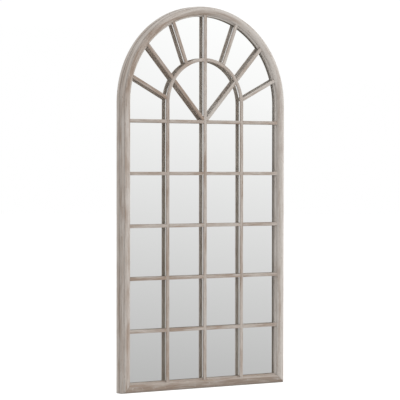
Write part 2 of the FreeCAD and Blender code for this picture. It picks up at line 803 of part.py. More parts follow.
# Lattice of glazing bars and the fan in the arch
nodes += [make_upright_bar(label, *upright) for label, upright in UPRIGHTS.items()]
nodes += [make_cross_bar(index) for index in range(int(size("rows")))]
centre_slot = block("centre_slot", "Sizes.bar_width", "Sizes.height", measure(bar_half=-1), ZERO)
nodes += [make_ring_half(name, side, centre_slot) for name, side in SIDES.items()]
ring_disc = make_arched_sheet("ring_disc", "ring_outer", "bar_foot", None, "trim_depth", "ring_level")
ring_well = make_arched_sheet("ring_well", "ring_inner", "hub_height", None, "trim_depth", "ring_level")
seat_disc = make_arched_sheet("seat_disc", "seat_reach", "bar_foot", None, "trim_depth")
for ray_name, ray_side in SIDES.items():
    for level in ("low", "mid", "high"):
        nodes.append(make_outer_ray(f"{ray_name}_{level}_ray", ray_side, f"{level}_ray_angle"))
    nodes.append(make_inner_ray(f"{ray_name}_inner_ray", ray_side))

# Glass, backing board and hanging hardware
glass = make_arched_sheet("mirror_glass", "glass_half", "glass_foot", "board_seat", "glass_thickness")
board = make_arched_sheet("backing_board", "board_half", "board_foot", "back_recess", "board_thickness")
drill_board(board)
nodes += [glass, board]
for hanger_name, hanger_side in SIDES.items():
    nodes.append(make_hanger_strap(hanger_name, hanger_side))
    nodes.append(make_hanger_ring(hanger_name, hanger_side))

# Patterns for the small repeated pieces
dowel = turned_body("dowel", [
    (ZERO, measure(dowel_half=-1)),
    (measure(dowel_tip=1), measure(dowel_half=-1)),
    (measure(dowel_radius=1), measure(dowel_barrel=-1)),
    (measure(dowel_radius=1), measure(dowel_barrel=1)),
    (measure(dowel_tip=1), measure(dowel_half=1)),
    (ZERO, measure(dowel_half=1)),
])
screw = turned_body("screw", [
    (ZERO, measure(screw_head_height=-1)),
    (measure(screw_head_top=1), measure(screw_head_height=-1)),
    (measure(screw_head_radius=1), measure(screw_head_rim=-1)),
    (measure(screw_head_radius=1), ZERO),
    (measure(screw_radius=1), ZERO),
    (measure(screw_radius=1), measure(screw_length=1, screw_point=-1)),
    (ZERO, measure(screw_length=1)),
])
doc.recompute()
nodes.append(make_group("frame_dowels", dowel, dowel_places()))
nodes.append(make_group("board_screws", screw, board_screw_places()))
nodes.append(make_group("hanger_screws", screw, strap_screw_places()))
doc.recompute()

# Every feature has to be sound before any file is written
for item in doc.Objects:
    if "Invalid" in item.State or "Error" in item.State:
        raise RuntimeError(f"{item.Label} failed: {item.State}")
for node in nodes:
    if node.Shape.isNull() or not node.Shape.isValid() or not node.Shape.Solids:
        raise RuntimeError(f"{node.Label} has no sound shape")

os.makedirs("parts", exist_ok=True)
for node in nodes:
    node.Shape.exportStep(f"parts/{node.Label}.step")
    print(node.Label, len(node.Shape.Solids), round(node.Shape.Volume))
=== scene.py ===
from math import atan, atan2, cos, pi, radians, sin

import bmesh
import bpy
from mathutils import Matrix, Quaternion, Vector


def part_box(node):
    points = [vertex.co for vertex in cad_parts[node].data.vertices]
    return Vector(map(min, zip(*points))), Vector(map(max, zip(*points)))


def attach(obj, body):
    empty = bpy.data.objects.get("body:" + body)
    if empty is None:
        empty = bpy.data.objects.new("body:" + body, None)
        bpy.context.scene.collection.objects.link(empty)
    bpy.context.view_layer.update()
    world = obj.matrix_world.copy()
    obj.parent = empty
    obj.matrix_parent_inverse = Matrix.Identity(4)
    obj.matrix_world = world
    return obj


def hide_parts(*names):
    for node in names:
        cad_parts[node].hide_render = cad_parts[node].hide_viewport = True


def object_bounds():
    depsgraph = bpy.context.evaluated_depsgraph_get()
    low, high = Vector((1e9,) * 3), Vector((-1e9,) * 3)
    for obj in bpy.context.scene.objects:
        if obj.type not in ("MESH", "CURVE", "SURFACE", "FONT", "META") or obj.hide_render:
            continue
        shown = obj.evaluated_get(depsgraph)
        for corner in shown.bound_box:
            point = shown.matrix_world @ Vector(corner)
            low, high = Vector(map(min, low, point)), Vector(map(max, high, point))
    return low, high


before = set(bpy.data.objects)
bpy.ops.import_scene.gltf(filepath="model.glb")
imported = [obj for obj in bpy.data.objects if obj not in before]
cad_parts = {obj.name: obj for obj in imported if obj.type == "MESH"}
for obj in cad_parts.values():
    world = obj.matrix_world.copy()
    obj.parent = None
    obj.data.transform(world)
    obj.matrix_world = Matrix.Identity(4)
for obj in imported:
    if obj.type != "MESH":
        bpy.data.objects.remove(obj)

cad_low, cad_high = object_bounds()
MM = 0.001

# Camera: turn to the left of the mirror's normal, distance from the lattice, and aim in picture points
VIEW_TURN = radians(33.538)
VIEW_RANGE = 9.1259
VIEW_HEIGHT = 1.0363
VIEW_ROLL = radians(0.076)
PICTURE_WIDTH = 400
FOCAL_POINTS = 1935.9
AIM_LEFT_POINTS = 5.42
AIM_DOWN_POINTS = 31.31
SENSOR_WIDTH = 36
SIGHT_END = 200

# Studio: soft fill from all round, one large lamp from the right, and a pale floor below the hung mirror
FILL_STRENGTH = 0.93
KEY_TURN = radians(70)
KEY_LIFT = radians(10)
KEY_RANGE = 8.0
KEY_WIDTH = 10.0
KEY_HEIGHT = 4.0
KEY_LEVEL = 0.576
FLOOR_DROP = 0.6
FLOOR_RADIUS = 60
FLOOR_STEPS = 96
FLOOR_SHADE = 0.6
FLOOR_ROUGHNESS = 0.9
FLOOR_GLOW = 0.5

# The bright room in the glass, by rise or turn of the line of sight: from and to, then the shades at both
ROOM_LOW = (-0.113, 0.034, 0.503, 0.955)
ROOM_HIGH = (0.034, 0.08, 0.0, 0.085)
ROOM_SIDE = (0.515, 0.58, 0.975, 1.025)

# Finish colours, as linear light
WHITE = (1, 1, 1, 1)
WASH_PALE = (0.60, 0.555, 0.51, 1)
WASH_GREY = (0.48, 0.435, 0.395, 1)
# Pale wash used for painted light and painted highlights
PAINTED_LIGHT_WASH = (0.66, 0.615, 0.57, 1)
WOOD_TAN = (0.40, 0.315, 0.255, 1)
WOOD_BROWN = (0.29, 0.215, 0.168, 1)
# Dark colour for dirt, and for painted shade in hollows
DIRT_AND_SHADE_DARK = (0.15, 0.12, 0.095, 1)
BACK_WOOD = (0.36, 0.32, 0.27, 1)
BACK_GRAIN = (0.27, 0.235, 0.195, 1)
SILVER = (0.95, 0.955, 0.95, 1)
BOARD_BROWN = (0.20, 0.115, 0.06, 1)
BOARD_FLECK = (0.33, 0.21, 0.12, 1)
BEECH_LIGHT = (0.62, 0.43, 0.26, 1)
BEECH_DARK = (0.45, 0.28, 0.15, 1)
ZINC_BRIGHT = (0.66, 0.67, 0.68, 1)
ZINC_DULL = (0.44, 0.45, 0.46, 1)

# Patterns of the whitewash: features in a metre along the grain and across it
WAVER_STRETCH = (2.5, 12, 12)
WAVER_REACH = 30 * MM
CLOUD_STRETCH = (7, 24, 24)
STREAK_STRETCH = (6, 80, 80)
HAIR_STRETCH = (20, 500, 500)
FLAKE_STRETCH = (40, 110, 110)

# Ramps of the whitewash: pattern values from and to, then the shares at both if they aren't 0 and 1
HAIR_TAN = (0.35, 0.65)
FLAKE_PALE = (0.35, 0.65)
STREAK_THIN = (0.44, 0.6, 0.0, 0.7)
CLOUD_THIN = (0.44, 0.66, 0.0, 0.45)
HAIR_BARE = (0.3, 0.6, 1.0, 0.7)
STREAK_SOIL_AND_SHADE = (0.35, 0.6, 0.6, 1.0)
STREAK_PAINTED_LIGHT = (0.35, 0.6, 1.0, 0.5)
FLAKE_CHIP = (0.6, 0.66)
FLAKE_DAB = (0.38, 0.33)
STREAK_BACK = (0.38, 0.62)
CLOUD_ROUGH = (0.3, 0.7, 0.58, 0.74)

# Painted highlights on edges, painted shade in hollows and unpainted backs: ramps over the way that a
# surface faces or lies open
EDGE_FACING = (0.93, 0.75)
EDGE_STREAK = (0.4, 0.56, 0.15, 0.75)
HOLLOW_REACH = 3 * MM
HOLLOW_SHADE = (0.6, 0.3, 0.0, 0.6)
BACK_FACING = (0.5, 0.8)
EDGE_SAMPLES = 6

# Relief and gloss of the whitewash, and how far apart two boards are cut from the grain, in metres
STREAK_RELIEF = 0.6
HAIR_RELIEF = 0.4
CHIP_RELIEF = 0.35
WASH_RELIEF = 0.5 * MM
WASH_SPECULAR = 0.3
BOARD_STEPS = (0.731, 0.413, 0.297)

# Patterns, ramps and relief of the plain finishes
HAZE_STRETCH = (7, 7, 7)
HAZE_ROUGH = (0.45, 0.8, 0.0, 0.03)
BOARD_CLOUD_STRETCH = (9, 9, 9)
BOARD_FLECK_STRETCH = (420, 420, 420)
BOARD_CLOUD_SHARE = (0.3, 0.7, 0.0, 0.4)
BOARD_FLECK_SHARE = (0.5, 0.7, 0.0, 0.6)
BOARD_ROUGH = (0.3, 0.7, 0.5, 0.66)
BOARD_RELIEF = 0.15 * MM
BEECH_STRETCH = (260, 260, 90)
BEECH_FLECK = (0.4, 0.65)
BEECH_ROUGH = (0.3, 0.7, 0.55, 0.7)
ZINC_CLOUD_STRETCH = (160, 160, 160)
ZINC_LINE_STRETCH = (1400, 1400, 120)
ZINC_CLOUD = (0.35, 0.65)
ZINC_ROUGH = (0.3, 0.7, 0.28, 0.45)
ZINC_RELIEF = 0.03 * MM

# The bars' shares of bare brown wood, of unpainted back (set bar by bar partly as painted shade), of wear
# and of rounding
BAR_WASH = {"left_bar": {"Brown": 0.5, "Raw": 0.9},
            "centre_bar": {"Brown": 0.25, "Raw": 0.6},
            "right_bar": {"Brown": 0.2, "Raw": 0.6}}
CROSS_WASH = {"Brown": 0.3, "Raw": 0.7}
# The right rays are paler and have painted backs partly as painted light, so their sides and backs read
# lighter in the glass
RAY_WASH = {"left": {"Brown": 0.65, "Raw": 0.3},
            "right": {"Brown": -0.25, "Raw": 0.0}}
RING_WASH = {"Brown": 0.15, "Raw": 0.6}
BAR_SHARES = {"Wear": 0.45, "Round": 3 * MM}
LEVEL = 0.0
UPRIGHT = pi / 2

# The frame is more knocked about than the bars, and paler towards the right, partly by its tone and partly
# as painted light
FRAME_BOARD = 40
FRAME_WEAR = 0.7
FRAME_ROUND = 6 * MM
FRAME_BROWN = (0.08, -0.28)
TURN_PALE = (-0.05, 0.38)
UNPAINTED = 1.0

# Its outer side has two dark lines and two pale stripes of painted highlight, by distance from the wall
SIDE_INSET = 5 * MM
SIDE_LINE_RISES = (24.5 * MM, 41 * MM)
SIDE_LINE_HALF = 4 * MM
SIDE_LINE_SHARE = 0.35
SIDE_HIGHLIGHTS = ((6 * MM, 12 * MM), (52 * MM, 9 * MM))
SIDE_HIGHLIGHT_SHARE = 0.4

# Painted light on the inner lip and painted highlights on the outer edge, by inset from the outline
LIP_INSET = 39.5 * MM
LIP_SHARE = 0.9
EDGE_INSETS = (14 * MM, 26 * MM)
EDGE_SHARE = 0.6

# The arch: painted light on the right of its band, worn brown round its left shoulder and along the hollow
# of its crown, by turn from the right and by inset from the outline
ARCH_FADE = 150 * MM
BAND_INSET = 24 * MM
BAND_HALF = 26 * MM
BAND_SHARE = 0.9
SHOULDER_TURN = radians(150)
SHOULDER_HALF = radians(42)
FACE_INSET = 22 * MM
FACE_HALF = 18 * MM
CROWN_TURN = radians(96)
CROWN_HALF = radians(38)
HOLLOW_INSET = 31 * MM
HOLLOW_HALF = 11 * MM
WORN_BROWN = 0.6
WORN_DIRT = 0.15

# The bottom rail is browner from its lower edge up, and darker along its middle and more to the right:
# partly scuffs and soil, partly painted shade where it faces down
FOOT_BOARD = 41
SCUFF_AND_SHADE_RISE = (38 * MM, 8 * MM)
SCUFF_AND_SHADE_SHARES = (0.45, 0.7)
SOIL_AND_SHADE_MIDDLE = 16 * MM
SOIL_AND_SHADE_HALF = 24 * MM
SOIL_AND_SHADE_TURN = (-0.3, 0.1)
SOIL_AND_SHADE_SHARES = (0.28, 0.52)

# Half section of a pan-head screw: radius, and distance forward from the top of its head
SCREW_POINT = (0, 16 * MM)
SCREW_SECTION = [(1.75 * MM, 12 * MM), (1.75 * MM, 2 * MM), (3.5 * MM, 2 * MM), (3.5 * MM, 1.1 * MM),
                 (3.35 * MM, 0.65 * MM), (2.95 * MM, 0.25 * MM), (2.3 * MM, 0)]
SCREW_STEPS = 24
CROSS_REACH = 1.7 * MM
CROSS_HALF = 0.5 * MM
CROSS_TAPER = 0.12 * MM
CROSS_DEPTH = 1.1 * MM
SCREW_TURN = radians(37)
SHARP_ANGLE = radians(40)
WELD_GAP = 0.01 * MM
TIP_MARGIN = 0.1 * MM
PLACE_DIGITS = 4

# The colour sockets of a Mix node, by number
MIX_FIRST = 6
MIX_SECOND = 7
MIX_RESULT = 2

# Places and pieces read from the frame
stile_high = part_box("right_stile")[1]
half_width = stile_high.x
spring_height = stile_high.z
bar_low, bar_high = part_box("cross_bar_1")
hub_height = (bar_low.z + bar_high.z) / 2
lattice_front = bar_low.y
ring_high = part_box("right_fan_ring")[1]
ring_radius = (ring_high.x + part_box("right_bar")[0].x) / 2
ring_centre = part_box("right_bar")[1].z
arch_segments = [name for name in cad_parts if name.startswith("arch_segment_")]
cross_bars = [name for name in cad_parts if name.startswith("cross_bar_")]
rays = [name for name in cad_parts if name.endswith("_ray")]


def feed(tree, node, inputs):
    """Gives each input of a node a plain value or another node's output."""
    for socket, value in inputs.items():
        if isinstance(value, bpy.types.NodeSocket):
            tree.links.new(value, node.inputs[socket])
        else:
            node.inputs[socket].default_value = value


def add_node(tree, kind, inputs=None, **settings):
    """Adds a node with its settings and inputs."""
    made = tree.nodes.new(kind)
    for name, value in settings.items():
        setattr(made, name, value)
    feed(tree, made, inputs or {})
    return made


def add_group(tree, group, inputs):
    """Places a shader group, and returns its outputs."""
    return add_node(tree, "ShaderNodeGroup", inputs, node_tree=group).outputs


def sums(tree, operation, first, second=0.0):
    """One step of arithmetic on one or two values."""
    return add_node(tree, "ShaderNodeMath", {0: first, 1: second}, operation=operation).outputs[0]


def plus(tree, first, second):
    return sums(tree, "ADD", first, second)


def minus(tree, first, second):
    return sums(tree, "SUBTRACT", first, second)


def times(tree, first, second):
    return sums(tree, "MULTIPLY", first, second)


def most(tree, first, second):
    return sums(tree, "MAXIMUM", first, second)


def vectors(tree, operation, first, second):
    """One step of arithmetic on two vectors."""
    return add_node(tree, "ShaderNodeVectorMath", {0: first, 1: second}, operation=operation).outputs


def axes(tree, vector):
    """The X, Y and Z of a vector."""
    return add_node(tree, "ShaderNodeSeparateXYZ", {0: vector}).outputs


def remap(tree, value, low, high, to_low=0.0, to_high=1.0):
    """Stretches a value from one range to another, and holds it there."""
    inputs = {"Value": value, "From Min": low, "From Max": high, "To Min": to_low, "To Max": to_high}
    return add_node(tree, "ShaderNodeMapRange", inputs, clamp=True).outputs["Result"]


def near(tree, value, middle, half, share):
    """A share round one value that fades to nothing at a half width to either side."""
    off = sums(tree, "ABSOLUTE", minus(tree, value, middle))
    return remap(tree, off, half / 2, half, share, 0.0)


def mix_colour(tree, share, first, second):
    """A share of the second colour over the first."""
    inputs = {"Factor": share, MIX_FIRST: first, MIX_SECOND: second}
    return add_node(tree, "ShaderNodeMix", inputs, data_type="RGBA").outputs[MIX_RESULT]


def cloud(tree, vector, stretch, **shares):
    """Cloudy pattern, stretched by how many features lie in a metre along each axis."""
    scaled = vectors(tree, "MULTIPLY", vector, stretch)["Vector"]
    return add_node(tree, "ShaderNodeTexNoise", {"Vector": scaled, "Scale": 1.0, **shares}).outputs


def noise(tree, vector, stretch, detail=3.0, rough=0.55):
    """The values of a cloudy pattern."""
    return cloud(tree, vector, stretch, Detail=detail, Roughness=rough)["Fac"]


def waver(tree, vector, stretch, reach):
    """Bends straight grain gently to the sides, by a reach in metres."""
    drift = cloud(tree, vector, stretch, Detail=2.0)["Color"]
    centred = vectors(tree, "SUBTRACT", drift, (0.5, 0.5, 0.5))["Vector"]
    shift = vectors(tree, "MULTIPLY", centred, (0, reach, reach))["Vector"]
    return vectors(tree, "ADD", vector, shift)["Vector"]


def bump(tree, height, distance, **base):
    """Fine relief; base may give the normal that it lies on."""
    inputs = {"Height": height, "Distance": distance, **base}
    return add_node(tree, "ShaderNodeBump", inputs).outputs["Normal"]


def object_place(tree):
    """Place on the object, in metres."""
    return tree.nodes.new("ShaderNodeTexCoord").outputs["Object"]


def new_group(name, inputs, outputs):
    """An empty shader group with named sockets; returns the group, its inputs and its output node."""
    group = bpy.data.node_groups.new(name, "ShaderNodeTree")
    for socket, kind in inputs.items():
        group.interface.new_socket(socket, in_out="INPUT", socket_type=f"NodeSocket{kind}")
    for socket, kind in outputs.items():
        group.interface.new_socket(socket, in_out="OUTPUT", socket_type=f"NodeSocket{kind}")
    entry = group.nodes.new("NodeGroupInput").outputs
    leave = group.nodes.new("NodeGroupOutput")
    return group, entry, leave


def new_material(name):
    """A material with its own surface shader; returns the material, its tree and the shader."""
    material = bpy.data.materials.new(name)
    material.use_nodes = True
    tree = material.node_tree
    return material, tree, tree.nodes["Principled BSDF"]


def make_whitewash_group():
    """Thin whitewash brushed along brown wood: streaked and chipped, with painted highlights on its edges
    and painted shade in its hollows.
    """
    shares = dict.fromkeys(("Brown", "Dirt And Shade", "Painted Light", "Wear", "Raw", "Round"), "Float")
    group, entry, leave = new_group(
        "whitewash", {"Grain": "Vector", **shares},
        {"Color": "Color", "Roughness": "Float", "Height": "Float", "Soft Normal": "Vector"})
    grain = waver(group, entry["Grain"], WAVER_STRETCH, WAVER_REACH)
    clouds = noise(group, grain, CLOUD_STRETCH)
    streaks = noise(group, grain, STREAK_STRETCH, detail=4)
    hairs = noise(group, grain, HAIR_STRETCH, detail=4)
    flakes = noise(group, grain, FLAKE_STRETCH, detail=5, rough=0.7)

    wood = mix_colour(group, remap(group, hairs, *HAIR_TAN), WOOD_BROWN, WOOD_TAN)
    wash = mix_colour(group, remap(group, flakes, *FLAKE_PALE), WASH_GREY, WASH_PALE)
    thin = plus(group, remap(group, streaks, *STREAK_THIN), remap(group, clouds, *CLOUD_THIN))
    bare = times(group, plus(group, thin, entry["Brown"]), remap(group, hairs, *HAIR_BARE))
    brushed = mix_colour(group, remap(group, bare, 0.0, 1.0), wash, wood)
    # Darkening by the dirt share: dirt, and on the bottom rail partly painted shade
    soil_and_shade = times(group, entry["Dirt And Shade"], remap(group, streaks, *STREAK_SOIL_AND_SHADE))
    soiled_and_shaded = mix_colour(group, soil_and_shade, brushed, DIRT_AND_SHADE_DARK)
    # Painted light: this share mixes in the pale wash
    painted_light = times(group, entry["Painted Light"], remap(group, streaks, *STREAK_PAINTED_LIGHT))
    painted = mix_colour(group, painted_light, soiled_and_shaded, PAINTED_LIGHT_WASH)

    chips = times(group, remap(group, flakes, *FLAKE_CHIP), entry["Wear"])
    chipped = mix_colour(group, chips, painted, WOOD_BROWN)
    dabs = times(group, remap(group, flakes, *FLAKE_DAB), entry["Wear"])
    dabbed = mix_colour(group, dabs, chipped, WASH_PALE)

    normal = group.nodes.new("ShaderNodeNewGeometry").outputs["Normal"]
    bevel = add_node(group, "ShaderNodeBevel", {"Radius": entry["Round"]}, samples=EDGE_SAMPLES)
    soft_normal = bevel.outputs["Normal"]
    # Painted highlights: the colour turns to the pale wash along edges, where the rounded normal leaves the
    # true one
    edge = remap(group, vectors(group, "DOT_PRODUCT", soft_normal, normal)["Value"], *EDGE_FACING)
    edge_highlight = times(group, edge, remap(group, streaks, *EDGE_STREAK))
    edged = mix_colour(group, edge_highlight, dabbed, PAINTED_LIGHT_WASH)

    # Painted shade: the colour darkens towards the dark colour where ambient occlusion finds a hollow
    hollow = add_node(group, "ShaderNodeAmbientOcclusion", {"Distance": HOLLOW_REACH}, samples=EDGE_SAMPLES)
    hollow_shade = remap(group, hollow.outputs["AO"], *HOLLOW_SHADE)
    hollow_shaded = mix_colour(group, hollow_shade, edged, DIRT_AND_SHADE_DARK)

    # Unpainted backs; the share is set bar by bar partly as painted shade on the backs seen in the glass
    behind = times(group, remap(group, axes(group, normal)["Y"], *BACK_FACING), entry["Raw"])
    unpainted = mix_colour(group, remap(group, streaks, *STREAK_BACK), BACK_WOOD, BACK_GRAIN)
    finish = mix_colour(group, behind, hollow_shaded, unpainted)

    ridge = plus(group, times(group, streaks, STREAK_RELIEF), times(group, hairs, HAIR_RELIEF))
    height = minus(group, ridge, times(group, chips, CHIP_RELIEF))
    feed(group, leave, {"Color": finish, "Roughness": remap(group, clouds, *CLOUD_ROUGH),
                        "Height": height, "Soft Normal": soft_normal})
    return group


def make_arched_run_group():
    """Unrolls a piece that bends round a centre and has straight legs: distance along, out and across."""
    group, entry, leave = new_group(
        "arched_run", {"Vector": "Vector", "Centre Height": "Float", "Radius": "Float"}, {"Grain": "Vector"})
    place = axes(group, entry["Vector"])
    lift = minus(group, place["Z"], entry["Centre Height"])
    bent = most(group, lift, 0.0)
    leg = times(group, sums(group, "MINIMUM", lift, 0.0), sums(group, "SIGN", place["X"]))
    angle = sums(group, "ARCTAN2", bent, place["X"])
    along = plus(group, times(group, angle, entry["Radius"]), leg)
    squares = plus(group, times(group, bent, bent), times(group, place["X"], place["X"]))
    across = sums(group, "SQRT", squares)
    run = add_node(group, "ShaderNodeCombineXYZ", {"X": along, "Y": place["Y"], "Z": across})
    feed(group, leave, {"Grain": run.outputs[0]})
    return group


def finish_whitewash(tree, shader, grain, shares):
    """Coats a piece of wood with the whitewash group."""
    coat = add_group(tree, whitewash, {"Grain": grain, **shares})
    relief = bump(tree, coat["Height"], WASH_RELIEF, Normal=coat["Soft Normal"])
    feed(tree, shader, {"Base Color": coat["Color"], "Roughness": coat["Roughness"], "Normal": relief,
                        "Specular IOR Level": WASH_SPECULAR})


def plank(tree, run, board, turn=0.0):
    """Cuts a piece from its own place in the grain pattern, so that no two pieces look alike."""
    cut = tuple(board * step for step in BOARD_STEPS)
    inputs = {"Vector": run, "Location": cut, "Rotation": (0, turn, 0)}
    return add_node(tree, "ShaderNodeMapping", inputs).outputs[0]


def straight_bar(name, turn, board, wash):
    """Whitewashed bar whose grain runs straight, at an angle from the level."""
    material, tree, shader = new_material(f"whitewash_{name}")
    finish_whitewash(tree, shader, plank(tree, object_place(tree), board, turn), {**wash, **BAR_SHARES})
    return material


def bent_bar(name, centre_height, radius, board, wash):
    """Whitewashed bar whose grain follows a ring."""
    material, tree, shader = new_material(f"whitewash_{name}")
    place = {"Vector": object_place(tree), "Centre Height": centre_height, "Radius": radius}
    run = add_group(tree, arched_run, place)["Grain"]
    finish_whitewash(tree, shader, plank(tree, run, board), {**wash, **BAR_SHARES})
    return material


def frame_wood():
    """Stiles and arch painted as one: browner on the left shoulder, and paler on the right and on the lip:
    on the lip as painted light, on the right partly the wood's tone and partly painted light.
    """
    material, tree, shader = new_material("whitewash_frame")
    place = object_place(tree)
    outline = {"Vector": place, "Centre Height": spring_height, "Radius": half_width}
    run = add_group(tree, arched_run, outline)["Grain"]
    unrolled = axes(tree, run)
    inset = minus(tree, half_width, unrolled["Z"])
    rise = times(tree, unrolled["Y"], -1.0)
    rightward = remap(tree, axes(tree, place)["X"], *TURN_PALE)
    arched = remap(tree, axes(tree, place)["Z"], spring_height, spring_height + ARCH_FADE)

    outside = remap(tree, inset, SIDE_INSET, SIDE_INSET + MM, 1.0, 0.0)
    lines = 0.0
    for line in SIDE_LINE_RISES:
        lines = plus(tree, lines, near(tree, rise, line, SIDE_LINE_HALF, SIDE_LINE_SHARE))
    side_highlights = 0.0
    # Painted highlights: two pale stripes along the outer side
    for ridge, half in SIDE_HIGHLIGHTS:
        side_highlights = plus(tree, side_highlights, near(tree, rise, ridge, half, SIDE_HIGHLIGHT_SHARE))

    shoulder = near(tree, unrolled["X"], SHOULDER_TURN * half_width, SHOULDER_HALF * half_width, 1.0)
    face = near(tree, inset, FACE_INSET, FACE_HALF, 1.0)
    crown = near(tree, unrolled["X"], CROWN_TURN * half_width, CROWN_HALF * half_width, 1.0)
    hollow = near(tree, inset, HOLLOW_INSET, HOLLOW_HALF, 1.0)
    worn = most(tree, times(tree, shoulder, face), times(tree, crown, hollow))

    # Painted light on the inner lip, and painted highlights on the outer edge and on the right of the band
    lip = remap(tree, inset, LIP_INSET, LIP_INSET + MM, 0.0, LIP_SHARE)
    lip_painted_light = times(tree, lip, most(tree, rightward, arched))
    edge = remap(tree, inset, *EDGE_INSETS, EDGE_SHARE, 0.0)
    outer_edge_highlight = times(tree, edge, most(tree, rightward, crown))
    band = times(tree, near(tree, inset, BAND_INSET, BAND_HALF, BAND_SHARE), arched)
    face_painted_light = most(tree, outer_edge_highlight, times(tree, band, rightward))

    # Paler to the right: partly the wood's tone, partly painted light
    brown = remap(tree, rightward, 0.0, 1.0, *FRAME_BROWN)
    joint = sums(tree, "PINGPONG", unrolled["X"], pi * half_width / len(arch_segments) / 2)
    finish_whitewash(tree, shader, plank(tree, run, FRAME_BOARD), {
        "Brown": plus(tree, brown, times(tree, worn, WORN_BROWN)),
        "Dirt And Shade": plus(tree, times(tree, lines, outside), times(tree, worn, WORN_DIRT)),
        "Painted Light": plus(tree, times(tree, side_highlights, outside), plus(tree, lip_painted_light, face_painted_light)),
        "Wear": FRAME_WEAR,
        "Raw": UNPAINTED,
        "Round": remap(tree, joint, MM, FRAME_ROUND + MM, 0.0, FRAME_ROUND)})
    return material


def foot_wood():
    """The bottom rail: browner towards its lower edge, and darker along its middle and more to the right,
    partly scuffs and soil and partly painted shade where it faces down.
    """
    material, tree, shader = new_material("whitewash_bottom_rail")
    place = object_place(tree)
    height = axes(tree, place)["Z"]
    soil_and_shade = remap(tree, axes(tree, place)["X"], *SOIL_AND_SHADE_TURN, *SOIL_AND_SHADE_SHARES)
    # Browner and darker low down: partly scuffs and soil, partly painted shade where the rail faces down
    finish_whitewash(tree, shader, plank(tree, place, FOOT_BOARD), {
        "Brown": remap(tree, height, *SCUFF_AND_SHADE_RISE, *SCUFF_AND_SHADE_SHARES),
        "Dirt And Shade": times(tree, near(tree, height, SOIL_AND_SHADE_MIDDLE, SOIL_AND_SHADE_HALF, 1.0), soil_and_shade),
        "Wear": FRAME_WEAR,
        "Raw": UNPAINTED,
        "Round": FRAME_ROUND})
    return material


def mirror_silver():
    """Silvered glass with a faint haze here and there."""
    material, tree, shader = new_material("mirror_silver")
    haze = noise(tree, object_place(tree), HAZE_STRETCH, detail=5)
    feed(tree, shader, {"Base Color": SILVER, "Metallic": 1.0, "Roughness": remap(tree, haze, *HAZE_ROUGH)})
    return material


def brown_hardboard():
    """Pressed fibre board: dark brown with pale flecks and a slight leathery skin."""
    material, tree, shader = new_material("brown_hardboard")
    place = object_place(tree)
    clouds = noise(tree, place, BOARD_CLOUD_STRETCH, detail=4)
    flecks = noise(tree, place, BOARD_FLECK_STRETCH, detail=3, rough=0.7)
    shade = plus(tree, remap(tree, clouds, *BOARD_CLOUD_SHARE), remap(tree, flecks, *BOARD_FLECK_SHARE))
    feed(tree, shader, {"Base Color": mix_colour(tree, shade, BOARD_BROWN, BOARD_FLECK),
                        "Roughness": remap(tree, clouds, *BOARD_ROUGH),
                        "Normal": bump(tree, flecks, BOARD_RELIEF)})
    return material


def turned_beech():
    """Pale dowel wood with short dark flecks."""
    material, tree, shader = new_material("turned_beech")
    flecks = noise(tree, object_place(tree), BEECH_STRETCH, detail=3)
    shade = remap(tree, flecks, *BEECH_FLECK)
    feed(tree, shader, {"Base Color": mix_colour(tree, shade, BEECH_LIGHT, BEECH_DARK),
                        "Roughness": remap(tree, flecks, *BEECH_ROUGH)})
    return material


def zinc_plate():
    """Plated steel: cloudy bright and dull patches with fine rolling lines."""
    material, tree, shader = new_material("zinc_plate")
    place = object_place(tree)
    shade = remap(tree, noise(tree, place, ZINC_CLOUD_STRETCH, detail=4), *ZINC_CLOUD)
    lines = noise(tree, place, ZINC_LINE_STRETCH, detail=2)
    feed(tree, shader, {"Base Color": mix_colour(tree, shade, ZINC_DULL, ZINC_BRIGHT), "Metallic": 1.0,
                        "Roughness": remap(tree, lines, *ZINC_ROUGH),
                        "Normal": bump(tree, lines, ZINC_RELIEF)})
    return material


def dress(node, material):
    """Gives a CAD node its finish."""
    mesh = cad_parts[node].data
    if mesh.materials:
        mesh.materials[0] = material
    else:
        mesh.materials.append(material)


def mesh_from(name, shape):
    """Turns a finished bmesh into a mesh."""
    mesh = bpy.data.meshes.new(name)
    shape.to_mesh(mesh)
    shape.free()
    return mesh


def put_in_scene(name, data):
    """An object for a mesh, a lamp or a camera."""
    made = bpy.data.objects.new(name, data)
    bpy.context.scene.collection.objects.link(made)
    return made


def make_screw(shape):
    """One screw with the top of its head at the origin and its point forwards, and a cross on its head."""
    line = [shape.verts.new((radius, -depth, 0)) for radius, depth in (SCREW_POINT, *SCREW_SECTION)]
    edges = [shape.edges.new(pair) for pair in zip(line, line[1:])]
    bmesh.ops.spin(shape, geom=line + edges, cent=(0, 0, 0), axis=(0, 1, 0), angle=2 * pi, steps=SCREW_STEPS,
                   use_merge=True)
    bmesh.ops.remove_doubles(shape, verts=shape.verts, dist=WELD_GAP)
    rim = [edge for edge in shape.edges if edge.is_boundary]
    corners = []
    for quarter in range(4):
        turn = Matrix.Rotation(quarter * pi / 2, 3, "Y")
        for x, z in ((CROSS_REACH, -CROSS_HALF), (CROSS_REACH, CROSS_HALF), (CROSS_HALF, CROSS_HALF)):
            corners.append(shape.verts.new(turn @ Vector((x, 0, -z))))
    sides = [shape.edges.new(pair) for pair in zip(corners, corners[1:] + corners[:1])]
    halved = bmesh.ops.subdivide_edges(shape, edges=sides, cuts=1)
    cross = list(dict.fromkeys(edge for item in halved["geom_inner"] for edge in item.link_edges))
    # Rim and cross run opposite ways here, so the bridge is twisted and the cross stands out of the head
    bmesh.ops.bridge_loops(shape, edges=rim + cross)
    floor = bmesh.ops.edgeloop_fill(shape, edges=cross)["faces"]
    bmesh.ops.recalc_face_normals(shape, faces=shape.faces)
    bmesh.ops.inset_region(shape, faces=floor, thickness=CROSS_TAPER, depth=-CROSS_DEPTH,
                           use_even_offset=True)


